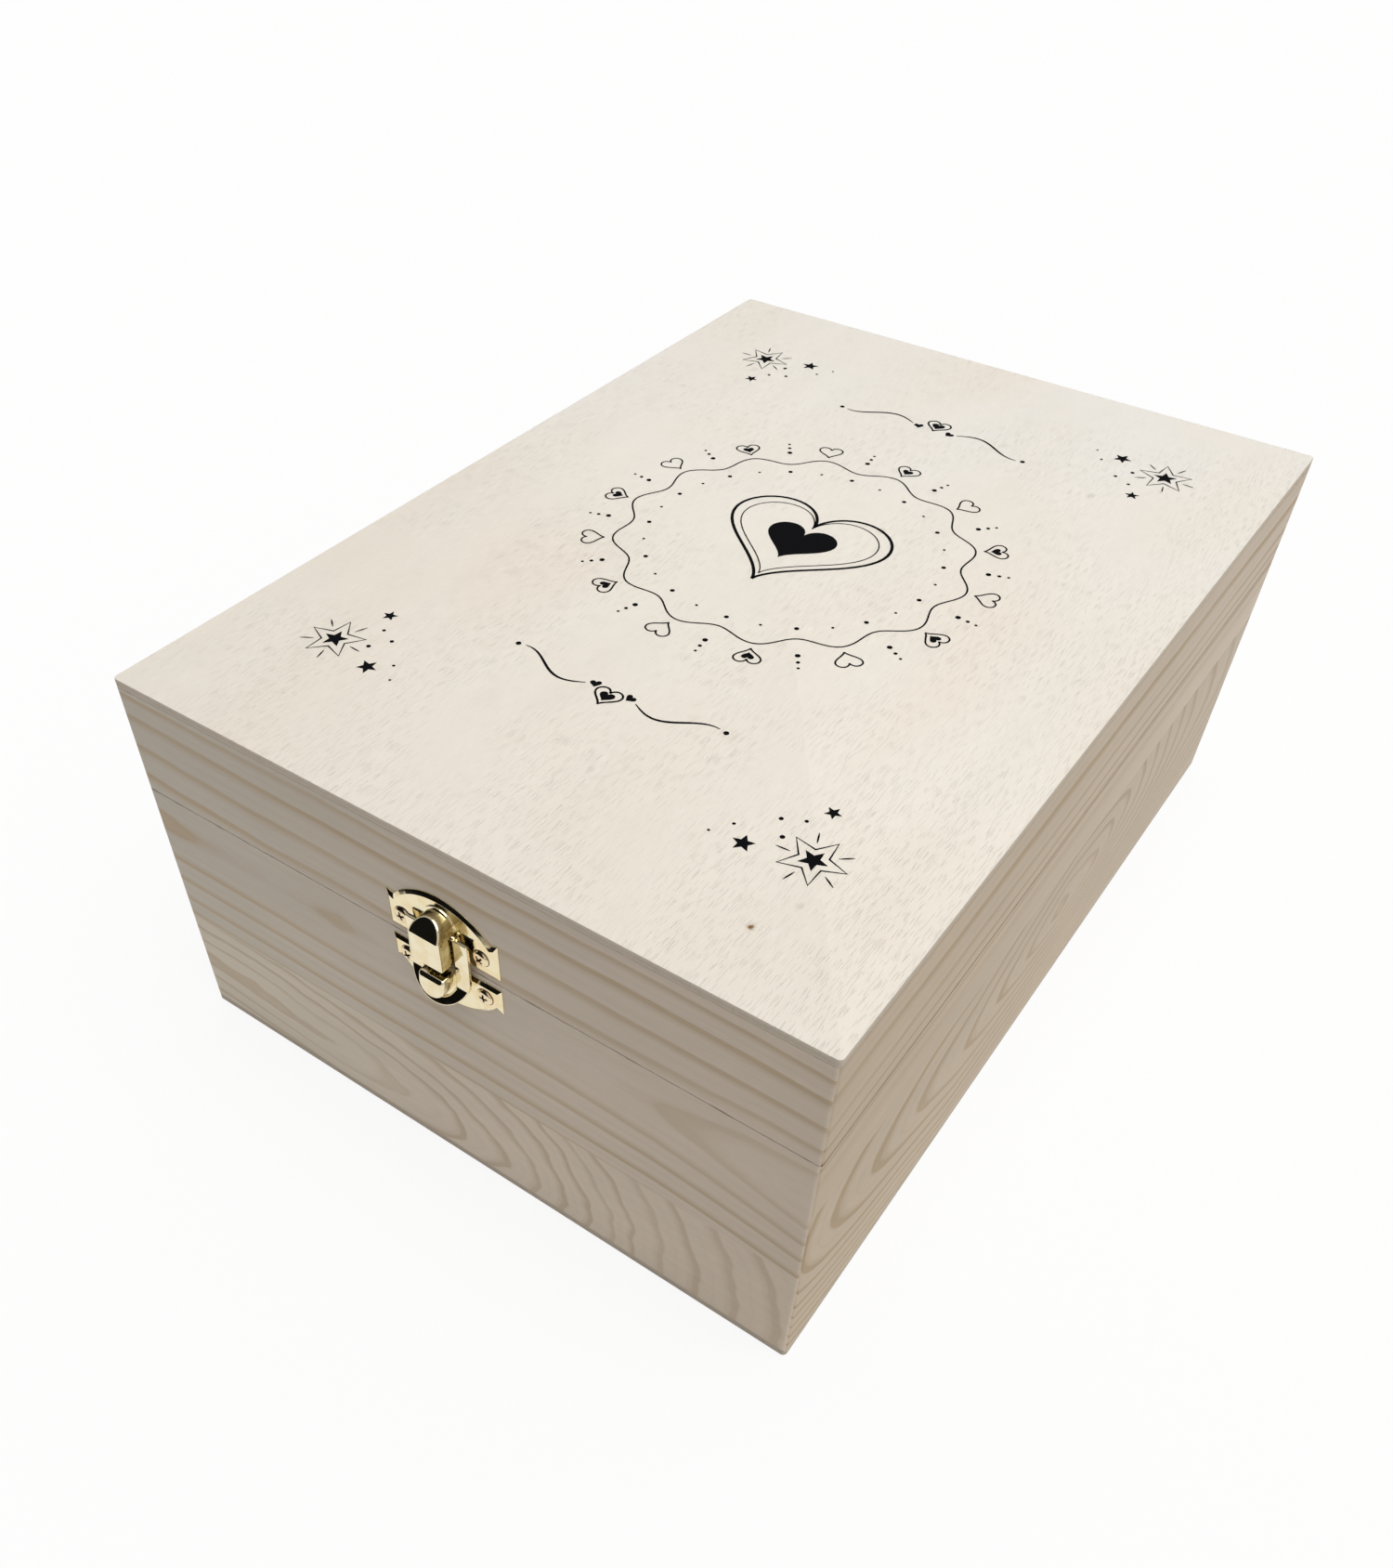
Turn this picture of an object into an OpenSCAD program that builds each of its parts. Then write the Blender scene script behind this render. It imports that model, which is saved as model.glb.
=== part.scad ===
// Keepsake box: a mitred pine box sawn into base and lid, with plywood panels,
// two butt hinges let into the back edge and a brass-plated hasp latch in front.
// Millimetres. X is left to right, Y front to back, Z up.
// The origin is the middle of the underside; the latch is on the -Y face.

/* [Box] */
// Outside width, left to right
box_w = 245; // [200:1:320]
// Outside depth, front to back
box_l = 350; // [260:1:450]
// Outside height with the lid shut
box_h = 142; // [125:1:220]
// Height of the lid with its top panel, where the box is sawn apart
lid_h = 41.5; // [34:0.5:60]
// Thickness of the pine boards
wall = 10; // [9.5:0.5:16]
// Plywood top panel
top_t = 3; // [2:0.5:6]
// Plywood bottom panel
bottom_t = 3; // [2:0.5:6]
// Rounding of the upright corners
corner_r = 1.5; // [0.5:0.1:4]
// Saw gap between the lid and the base
seam_gap = 0.3; // [0.1:0.05:0.6]

/* [Board joints] */
// Height of the glue line in the front and back walls
front_glue_z = 45.6; // [25:0.2:70]
// Height of the glue line in the side walls
side_glue_z = 75.8; // [30:0.2:80]

/* [Hinges] */
// Distance of each hinge's middle from the side of the box
hinge_end = 47.5; // [30:0.5:70]
// Length of a hinge
hinge_len = 26; // [20:1:40]
// Width of a leaf from the pin's axis to its free edge
leaf_w = 7.4; // [6.6:0.1:7.8]
// Thickness of a leaf
leaf_t = 0.8; // [0.6:0.1:1.2]
// Radius of the knuckles
knuckle_r = 2; // [1.8:0.1:2.1]
// Radius of the hinge pin
pin_r = 1; // [0.7:0.05:1.2]
// Radial running fit of the pins
pin_fit = 0.05; // [0.02:0.01:0.1]
// Length of the middle knuckle
mid_knuckle = 8.2; // [6:0.2:10]
// Pin axis in from the back face of the box
hinge_inset = 2; // [1.5:0.1:2.4]
// Opening angle at which the two back bevels would meet
stop_angle = 107; // [100:1:115]

/* [Latch plates] */
// Middle of the latch to the right of the middle of the box
latch_x = 1.7; // [-10:0.1:10]
// Width of both plates
plate_w = 39.8; // [38:0.2:46]
// Thickness of the plates
plate_t = 1; // [0.8:0.05:1.2]
// Run of the bevel round the plates
plate_bevel = 0.8; // [0.4:0.1:1.2]
// Upright rim of the plates under the bevel
plate_rim = 0.25; // [0.1:0.05:0.5]
// Gap from the seam to the lid plate
lid_plate_gap = 2.65; // [1:0.05:4]
// Gap from the seam to the keeper plate
keeper_gap = 2; // [1:0.05:4]
// Straight side of the lid plate up to its ears
lid_side = 13.2; // [12:0.2:16]
// Height of the lid plate at the crown of its arch
lid_arch = 20.2; // [19:0.2:24]
// Straight side of the keeper plate down to its ears
keeper_side = 9.3; // [8:0.1:12]
// Height of the keeper plate at the bottom of its arch
keeper_arch = 16.6; // [14:0.1:20]
// Width of an ear
ear_w = 2.4; // [2:0.1:5]
// Notch between ear and arch
ear_drop = 1.2; // [0.6:0.1:2.5]

/* [Latch housing and hasp] */
// Width of the housing
housing_w = 10.8; // [10:0.2:12]
// Height of the housing from its lower end to its round top
housing_h = 15.9; // [15:0.1:16.5]
// How far the housing stands out of the box
housing_out = 8.1; // [6.5:0.1:9]
// Height of the housing's upright front, below its leaning top
housing_front = 11; // [9:0.1:12]
// How far the housing's top leans back
housing_lean = 3.3; // [1:0.1:3.6]
// Run of the housing's foot on the plate, above its round top
foot_run = 1.1; // [0.6:0.1:1.4]
// Thickness of the housing's foot
foot_t = 0.5; // [0.3:0.1:0.8]
// Sheet thickness of the housing and the nose
shell_t = 0.9; // [0.6:0.1:1.1]
// Radius of the hasp's rod
rod_r = 1; // [0.8:0.05:1.1]
// Hasp's axis above the seam
pivot_s = 12.2; // [11:0.1:12.8]
// Clear space between the keeper or lid plate and the rod
rod_gap = 0.2; // [0.15:0.05:0.4]
// Overall width of the hasp
hasp_w = 22; // [20:0.2:22.2]
// Sheet thickness of the hasp
hasp_t = 1.2; // [1:0.1:1.5]
// Side clearance of the hasp's window round the housing and the nose
window_fit = 0.6; // [0.5:0.05:0.8]
// Bend of the hasp below the seam
bend_s = 5.2; // [4.5:0.1:7]
// Height of the upper bend above the seam, where the legs turn to the rod
crook_s = 7.2; // [5:0.1:8.5]
// Lower end of the hasp's bill below the seam
bill_s = 12.9; // [12.5:0.1:14]
// How far the bill's lip stands out of the box
bill_out = 7.4; // [6:0.1:8.5]

/* [Keeper nose] */
// Width of the nose
nose_w = 9.4; // [8:0.2:10]
// Height of the nose below the plate's upper edge
nose_h = 7.9; // [7:0.1:8.4]
// Nose stands out at its upper edge
nose_out = 7.6; // [6.6:0.1:9]
// Nose stands out at its lower end
nose_low_out = 8.7; // [7.8:0.1:9.5]

/* [Screws] */
// Distance of the latch screws from the latch's middle
latch_screw_x = 14.2; // [14.1:0.1:15.5]
// Lid plate's screws above its lower edge
lid_screw_y = 6.2; // [5:0.1:8]
// Keeper plate's screws below its upper edge
keeper_screw_y = 4.9; // [4.5:0.1:6]
// Radius of the latch screws' heads
head_r = 2.9; // [2.2:0.1:2.9]
// Height of the latch screws' heads
head_h = 1.6; // [1.2:0.1:2]
// Radius of the latch screws' shanks
shank_r = 1.1; // [0.8:0.1:1.3]
// Length of the latch screws in the wood
shank_l = 8; // [6:0.5:8.5]
// Radius of the hinge screws' shanks
pin_screw_r = 0.85; // [0.7:0.05:1]
// Length of the hinge screws in the wood
pin_screw_l = 9; // [6:0.5:14]
// Clearance round the screws
screw_fit = 0.05; // [0.02:0.01:0.1]

/* [Hidden] */
$fn = 48;
eps = 0.01;

seam_z = box_h - lid_h;
base_top = seam_z - seam_gap / 2;
lid_low = seam_z + seam_gap / 2;
axis_y = box_l / 2 - hinge_inset;
hinge_x = box_w / 2 - hinge_end;
leaf_gap = 0.1;            // between the two shut leaves
knuckle_gap = 0.15;        // between neighbouring knuckles
knuckle_room = 0.3;        // round the knuckles, in the wood and the leaves
bevel_angle = stop_angle / 2;
hinge_screw_x = hinge_len / 2 - 4.6;
hinge_screw_y = (leaf_w + knuckle_r + knuckle_room) / 2;
csk_r = pin_screw_r + leaf_t * 0.85;

// ---------------------------------------------------------------- wood

// plan of the box with its rounded upright corners
module plan() {
  square([box_w - 2 * corner_r, box_l], center = true);
  square([box_w, box_l - 2 * corner_r], center = true);
  for (x = [-1, 1], y = [-1, 1])
    translate([x * (box_w / 2 - corner_r), y * (box_l / 2 - corner_r)]) circle(corner_r);
}

// plan of one mitred board: a = run along the face, b = distance of the face
module mitred(a, b) {
  polygon([[-a, -b], [a, -b], [a - wall, -b + wall], [-a + wall, -b + wall]]);
}

module board(side, z0, z1) {
  color("burlywood")
  translate([0, 0, z0]) linear_extrude(z1 - z0)
  intersection() {
    plan();
    if (side == "front") mitred(box_w / 2, box_l / 2);
    if (side == "back") rotate(180) mitred(box_w / 2, box_l / 2);
    if (side == "left") rotate(-90) mitred(box_l / 2, box_w / 2);
    if (side == "right") rotate(90) mitred(box_l / 2, box_w / 2);
  }
}

module panel(z0, t) {
  color("wheat") translate([0, 0, z0]) linear_extrude(t) plan();
}

// The two back bevels open like a V behind the pins and stop the lid.
// dir = 1 cuts the lid, -1 the base.
module back_bevel(dir) {
  run = hinge_inset + 1;
  rise = run * tan(bevel_angle);
  translate([-box_w, axis_y, seam_z]) rotate([90, 0, 90])
    linear_extrude(2 * box_w)
      polygon([[0, -dir], [0, dir * seam_gap / 2], [run, dir * (seam_gap / 2 + rise)], [run, -dir]]);
}

// pockets for the leaf and the knuckles, and the pilot holes
module hinge_pockets(dir) {
  for (x = [-hinge_x, hinge_x]) translate([x, axis_y, seam_z]) {
    rotate([0, 90, 0]) cylinder(r = knuckle_r + knuckle_room, h = hinge_len + 2 * knuckle_room, center = true);
    leaf_block(dir, knuckle_room, 0, screw_fit);
    for (sx = [-1, 1]) translate([sx * hinge_screw_x, -hinge_screw_y, 0])
      mirror([0, 0, dir < 0 ? 1 : 0]) hinge_pilot();
  }
}

// blank of a leaf, grown at its ends by fit and cut open towards the seam
module leaf_block(dir, end_fit, y_end, edge_fit) {
  z = leaf_gap / 2;
  low = end_fit > 0 ? -1 : z;
  mirror([0, 0, dir < 0 ? 1 : 0])
    translate([-hinge_len / 2 - end_fit, -leaf_w - edge_fit, low])
      cube([hinge_len + 2 * end_fit, leaf_w + edge_fit - y_end, z + leaf_t - low]);
}

module hinge_pilot() {
  cylinder(r = pin_screw_r + screw_fit, h = leaf_gap / 2 + leaf_t + pin_screw_l - 1.5);
  translate([0, 0, leaf_gap / 2 + leaf_t + pin_screw_l - 1.5 - eps])
    cylinder(r1 = pin_screw_r + screw_fit, r2 = 0.2 + screw_fit, h = 1.5 + screw_fit);
}

// local frame of the latch: x across, y up from the seam, z out of the box
module on_front() {
  translate([latch_x, -box_l / 2, seam_z]) rotate([90, 0, 0]) children();
}

module latch_pilots(y) {
  on_front() for (sx = [-1, 1]) translate([sx * latch_screw_x, y, 0]) {
    translate([0, 0, -shank_l + 1.5]) cylinder(r = shank_r + screw_fit, h = shank_l);
    translate([0, 0, -shank_l - screw_fit]) cylinder(r1 = 0.2 + screw_fit, r2 = shank_r + screw_fit, h = 1.5 + screw_fit + eps);
  }
}

lid_screw_s = lid_plate_gap + lid_screw_y;
keeper_screw_s = -keeper_gap - keeper_screw_y;

module base_front_upper() {
  color("burlywood") difference() {
    board("front", front_glue_z, base_top);
    latch_pilots(keeper_screw_s);
  }
}

module base_back_upper() {
  color("burlywood") difference() {
    board("back", front_glue_z, base_top);
    back_bevel(-1);
    hinge_pockets(-1);
  }
}

// the bevel runs out through the mitred ends of the side boards
module base_side(side) {
  color("tan") difference() {
    board(side, side_glue_z, base_top);
    back_bevel(-1);
  }
}

module lid_front() {
  color("burlywood") difference() {
    board("front", lid_low, box_h - top_t);
    latch_pilots(lid_screw_s);
  }
}

module lid_back() {
  color("burlywood") difference() {
    board("back", lid_low, box_h - top_t);
    back_bevel(1);
    hinge_pockets(1);
  }
}

module lid_side(side) {
  color("tan") difference() {
    board(side, lid_low, box_h - top_t);
    back_bevel(1);
  }
}

// -------------------------------------------------------------- hinges

outer_knuckle = (hinge_len - mid_knuckle) / 2 - knuckle_gap;

module tube(x0, x1) {
  translate([x0, 0, 0]) rotate([0, 90, 0]) cylinder(r = knuckle_r, h = x1 - x0);
}

// One leaf: dir = 1 is screwed to the lid and has the middle knuckle,
// dir = -1 is screwed to the base and has the two outer ones.
module leaf(side, dir) {
  mid = mid_knuckle / 2;
  end = hinge_len / 2;
  color("gold") translate([side * hinge_x, axis_y, seam_z]) difference() {
    union() {
      leaf_block(dir, 0, knuckle_r + knuckle_room, 0);
      if (dir > 0) {
        tube(-mid, mid);
        web(dir, -mid, mid);
      } else for (s = [-1, 1]) {
        tube(s > 0 ? mid + knuckle_gap : -end, s > 0 ? end : -mid - knuckle_gap);
        web(dir, s > 0 ? mid + knuckle_gap : -end, s > 0 ? end : -mid - knuckle_gap);
      }
    }
    rotate([0, 90, 0]) cylinder(r = pin_r + pin_fit, h = hinge_len + 2, center = true);
    for (sx = [-1, 1]) translate([sx * hinge_screw_x, -hinge_screw_y, 0])
      mirror([0, 0, dir < 0 ? 1 : 0]) translate([0, 0, leaf_gap / 2]) {
        cylinder(r1 = csk_r + screw_fit, r2 = pin_screw_r + screw_fit, h = leaf_t);
        translate([0, 0, -eps]) cylinder(r = pin_screw_r + screw_fit, h = leaf_t + 1);
      }
  }
}

// joins the leaf to its knuckle without reaching the pin's bore
module web(dir, x0, x1) {
  y0 = knuckle_r + knuckle_room + eps;
  y1 = (knuckle_r + pin_r + pin_fit) / 2;
  mirror([0, 0, dir < 0 ? 1 : 0]) translate([x0, -y0, leaf_gap / 2]) cube([x1 - x0, y0 - y1, leaf_t]);
}

module hinge_pin(side) {
  color("goldenrod") translate([side * hinge_x, axis_y, seam_z])
    rotate([0, 90, 0]) cylinder(r = pin_r, h = hinge_len, center = true);
}

module hinge_screws(dir) {
  color("khaki") for (side = [-1, 1], sx = [-1, 1])
    translate([side * hinge_x + sx * hinge_screw_x, axis_y - hinge_screw_y, seam_z])
      mirror([0, 0, dir < 0 ? 1 : 0]) translate([0, 0, leaf_gap / 2]) difference() {
        union() {
          cylinder(r1 = csk_r, r2 = pin_screw_r, h = leaf_t);
          cylinder(r = pin_screw_r, h = leaf_t + pin_screw_l - 1.5);
          translate([0, 0, leaf_t + pin_screw_l - 1.5 - eps]) cylinder(r1 = pin_screw_r, r2 = 0.2, h = 1.5);
        }
        for (a = [0, 90]) rotate(a) cube([csk_r * 1.1, 0.3, 0.5], center = true);
      }
}

// --------------------------------------------------------------- latch

pivot_h = plate_t + rod_gap + rod_r;
window_w = max(housing_w, nose_w) + 2 * window_fit;
round_c = keeper_gap + nose_h + window_fit - window_w / 2;  // centre of the window's round end, below the seam
swing_r = pivot_s + keeper_gap + nose_h + 0.5; // the nose stays inside this radius round the rod

// Pressed plate: a straight edge at y = 0, two ears and an arch up to
// y = arch, bevelled all round above a thin upright rim.
module plate(side, arch, screw_y) {
  w = plate_w / 2;
  a = w - ear_w;
  y0 = side - ear_drop;
  r = (a * a + (arch - y0) * (arch - y0)) / (2 * (arch - y0));
  difference() {
    intersection() {
      union() {
        intersection() {
          translate([0, arch - r, 0]) union() {
            cylinder(r = r, h = plate_rim, $fn = 96);
            translate([0, 0, plate_rim]) cylinder(r1 = r, r2 = r - plate_bevel, h = plate_t - plate_rim, $fn = 96);
          }
          translate([-a, 0, 0]) cube([2 * a, arch + 1, plate_t]);
        }
        linear_extrude(plate_t)
          polygon([[-w, 0], [w, 0], [w, side], [a, y0], [-a, y0], [-w, side]]);
      }
      rotate([-90, 0, 0]) mirror([0, 1, 0]) linear_extrude(arch + 1)
        polygon([[-w, 0], [w, 0], [w, plate_rim], [w - plate_bevel, plate_t], [-w + plate_bevel, plate_t], [-w, plate_rim]]);
      across(2 * plate_w) polygon([[0, 0], [arch + 1, 0], [arch + 1, plate_t], [plate_bevel, plate_t], [0, plate_rim]]);
    }
    for (sx = [-1, 1]) translate([sx * latch_screw_x, screw_y, -1]) cylinder(r = shank_r + screw_fit, h = 4);
  }
}

module lid_plate() {
  color("gold") on_front() translate([0, lid_plate_gap, 0]) plate(lid_side, lid_arch, lid_screw_y);
}

module keeper_plate() {
  color("gold") on_front() translate([0, -keeper_gap, 0]) mirror([0, 1, 0]) plate(keeper_side, keeper_arch, keeper_screw_y);
}

// (s, h) side profile pulled across the latch
module across(w) {
  translate([-w / 2, 0, 0]) rotate([90, 0, 90]) linear_extrude(w) children();
}

// tongue-shaped outline: square lower end at y0, round upper end at y1
module tongue_outline(w, y0, y1) {
  translate([-w / 2, y0]) square([w, y1 - y0 - w / 2]);
  translate([0, y1 - w / 2]) circle(w / 2);
}

// Pressed housing over the rod: the front is upright and leans back above
// the rod, a thin foot lies round its top on the plate, and each side wall
// has an open-backed seat for the rod.
module housing() {
  y0 = lid_plate_gap + 0.25;
  y1 = y0 + housing_h;
  lean_y = y0 + housing_front;
  seat_r = rod_r + pin_fit;
  color("khaki") on_front() difference() {
    union() {
      intersection() {
        linear_extrude(20) tongue_outline(housing_w, y0, y1);
        across(housing_w) polygon([[y0, plate_t], [y0, housing_out - 0.6], [y0 + 0.6, housing_out],
          [lean_y, housing_out], [y1, housing_out - housing_lean], [y1, plate_t]]);
      }
      translate([0, 0, plate_t]) linear_extrude(foot_t) intersection() {
        tongue_outline(housing_w + 0.6, y0, y1 + foot_run);
        translate([-housing_w, y1 - housing_w / 2]) square([2 * housing_w, housing_w]);
      }
    }
    intersection() {
      linear_extrude(20) tongue_outline(housing_w - 2 * shell_t, y0 + shell_t, y1 - shell_t);
      across(housing_w) polygon([[y0, 0], [y0, housing_out - shell_t], [lean_y - 0.3, housing_out - shell_t],
        [y1 - 0.3, housing_out - housing_lean - shell_t], [y1, 0]]);
    }
    // seats of the rod
    translate([0, pivot_s, pivot_h]) rotate([0, 90, 0]) cylinder(r = seat_r, h = 30, center = true);
    translate([-15, pivot_s - seat_r, -1]) cube([30, 2 * seat_r, pivot_h + 1]);
  }
}

// Hasp: a rod and two legs bent out at the bottom into a round bill, with
// a window that the housing and the keeper's nose stand in.
module hasp() {
  c = bill_s - hasp_w / 2;
  front = pivot_h + rod_r / 2;
  crook_h = front + 0.5;
  bend_h = crook_h + 0.5;
  k = (bill_out - bend_h) / (bill_s - bend_s);
  n = sqrt(1 + k * k);
  color("khaki") on_front() {
    translate([0, pivot_s, pivot_h]) rotate([0, 90, 0]) cylinder(r = rod_r, h = hasp_w, center = true);
    difference() {
      intersection() {
        across(hasp_w) polygon([[pivot_s, pivot_h - rod_r], [pivot_s, front], [crook_s, crook_h],
          [-bend_s, bend_h], [-bill_s, bill_out], [-bill_s - hasp_t * k / n, bill_out - hasp_t / n],
          [-bend_s - 0.3, bend_h - hasp_t], [crook_s, crook_h - hasp_t]]);
        linear_extrude(20) {
          translate([-hasp_w / 2, -c]) square([hasp_w, pivot_s + c]);
          translate([0, -c]) circle(hasp_w / 2);
        }
      }
      translate([0, 0, -1]) linear_extrude(22) {
        translate([-window_w / 2, -round_c]) square([window_w, pivot_s + 1 + round_c]);
        translate([0, -round_c]) circle(window_w / 2);
      }
    }
  }
}

// Nose: fills the hasp's window below the seam. Its underside follows the
// hasp's swing, so that the hasp slips off it when the bill is pulled.
module nose() {
  y0 = keeper_gap;
  y1 = keeper_gap + nose_h;
  color("khaki") on_front() difference() {
    intersection() {
      linear_extrude(20) mirror([0, 1]) tongue_outline(nose_w, y0, y1);
      across(nose_w) polygon([[-y0, plate_t], [-y0, nose_out - 0.8], [-y0 - 0.25, nose_out - 0.3],
        [-y0 - 0.8, nose_out], [-y1, nose_low_out], [-y1 - 1, nose_low_out], [-y1 - 1, plate_t]]);
      translate([0, pivot_s, pivot_h]) rotate([0, 90, 0]) cylinder(r = swing_r, h = 30, center = true, $fn = 96);
    }
    intersection() {
      linear_extrude(20) mirror([0, 1]) tongue_outline(nose_w - 2 * shell_t, y0 + shell_t, y1 - shell_t);
      across(nose_w) polygon([[-y0, 0], [-y0, nose_out - 0.3 - shell_t], [-y1 - 1, nose_low_out - 0.3 - shell_t], [-y1 - 1, 0]]);
    }
  }
}

module latch_screws(s) {
  ball = (head_r * head_r + head_h * head_h) / (2 * head_h);
  color("silver") on_front() for (sx = [-1, 1]) translate([sx * latch_screw_x, s, 0]) difference() {
    union() {
      translate([0, 0, plate_t]) intersection() {
        translate([0, 0, head_h - ball]) sphere(ball);
        cylinder(r = head_r, h = head_h + 1);
      }
      translate([0, 0, -shank_l + 1.5]) cylinder(r = shank_r, h = shank_l + plate_t - 1.5 + eps);
      translate([0, 0, -shank_l]) cylinder(r1 = 0.2, r2 = shank_r, h = 1.5 + eps);
    }
    translate([0, 0, plate_t + head_h]) for (a = [20, 110]) rotate(a) cube([head_r * 1.1, 0.6, 1.4], center = true);
  }
}

// --------------------------------------------------------------- nodes

panel(0, bottom_t);  // bottom_panel
board("front", bottom_t, front_glue_z);  // base_front_lower
base_front_upper();
board("back", bottom_t, front_glue_z);  // base_back_lower
base_back_upper();
board("left", bottom_t, side_glue_z);  // base_left_lower
base_side("left");  // base_left_upper
board("right", bottom_t, side_glue_z);  // base_right_lower
base_side("right");  // base_right_upper
lid_front();
lid_back();
lid_side("left");  // lid_left
lid_side("right");  // lid_right
panel(box_h - top_t, top_t);  // lid_panel
leaf(-1, -1);  // hinge_left_base_leaf
leaf(-1, 1);  // hinge_left_lid_leaf
hinge_pin(-1);  // hinge_left_pin
leaf(1, -1);  // hinge_right_base_leaf
leaf(1, 1);  // hinge_right_lid_leaf
hinge_pin(1);  // hinge_right_pin
hinge_screws(-1);  // hinge_base_screws
hinge_screws(1);  // hinge_lid_screws
lid_plate();  // latch_lid_plate
housing();  // latch_housing
hasp();  // latch_hasp
keeper_plate();  // latch_keeper_plate
nose();  // latch_keeper_nose
latch_screws(lid_screw_s);  // latch_lid_screws
latch_screws(keeper_screw_s);  // latch_keeper_screws
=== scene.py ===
import math

import bmesh
import bpy
from mathutils import Matrix, Vector


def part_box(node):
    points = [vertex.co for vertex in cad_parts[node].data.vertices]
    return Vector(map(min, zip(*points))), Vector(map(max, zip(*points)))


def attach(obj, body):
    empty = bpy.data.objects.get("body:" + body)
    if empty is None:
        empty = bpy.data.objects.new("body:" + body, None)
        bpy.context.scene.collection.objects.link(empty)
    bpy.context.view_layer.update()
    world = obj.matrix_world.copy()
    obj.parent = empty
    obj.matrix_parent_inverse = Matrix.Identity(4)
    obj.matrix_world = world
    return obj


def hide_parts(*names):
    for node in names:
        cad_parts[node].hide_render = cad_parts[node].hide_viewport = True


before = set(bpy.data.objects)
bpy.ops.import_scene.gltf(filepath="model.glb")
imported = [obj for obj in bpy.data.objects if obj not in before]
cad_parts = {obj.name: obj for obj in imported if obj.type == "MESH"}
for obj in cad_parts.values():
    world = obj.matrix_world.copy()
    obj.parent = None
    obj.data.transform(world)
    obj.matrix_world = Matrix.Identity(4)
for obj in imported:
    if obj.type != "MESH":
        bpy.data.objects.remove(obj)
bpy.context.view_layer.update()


# ---------------------------------------------------------------- camera
# The photograph's viewpoint: right of the front, from above, close enough
# for strong perspective. The shift sets the box low and left in the frame.

def aim(azimuth, elevation, roll):
    """The turn of a camera that looks at the box from this side and height."""
    a, e, r = (math.radians(angle) for angle in (azimuth, elevation, roll))
    back = Vector((math.sin(a) * math.cos(e), -math.cos(a) * math.cos(e), math.sin(e)))
    level = Vector((0, 0, 1)).cross(back).normalized()
    upward = back.cross(level)
    right = level * math.cos(r) + upward * math.sin(r)
    up = upward * math.cos(r) - level * math.sin(r)
    return Matrix((right, up, back)).transposed()


eye = bpy.data.cameras.new("photo_view")
eye.sensor_width = 36
eye.lens = 30.448
eye.shift_x = 0.0383
eye.shift_y = 0.1178
eye.clip_start = 0.01
viewpoint = bpy.data.objects.new("photo_view", eye)
eye_place = Matrix.Translation((0.19052, -0.35136, 0.37194))
viewpoint.matrix_world = eye_place @ aim(35.097, 47.491, 0.649).to_4x4()
bpy.context.collection.objects.link(viewpoint)
bpy.context.scene.camera = viewpoint
bpy.context.scene.view_settings.view_transform = "Standard"


# ----------------------------------------------------- floor and lighting
# A white sheet on a darker floor, a wide soft lamp high over the box, and a
# room with one dark corner in front, which the latch mirrors.

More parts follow.
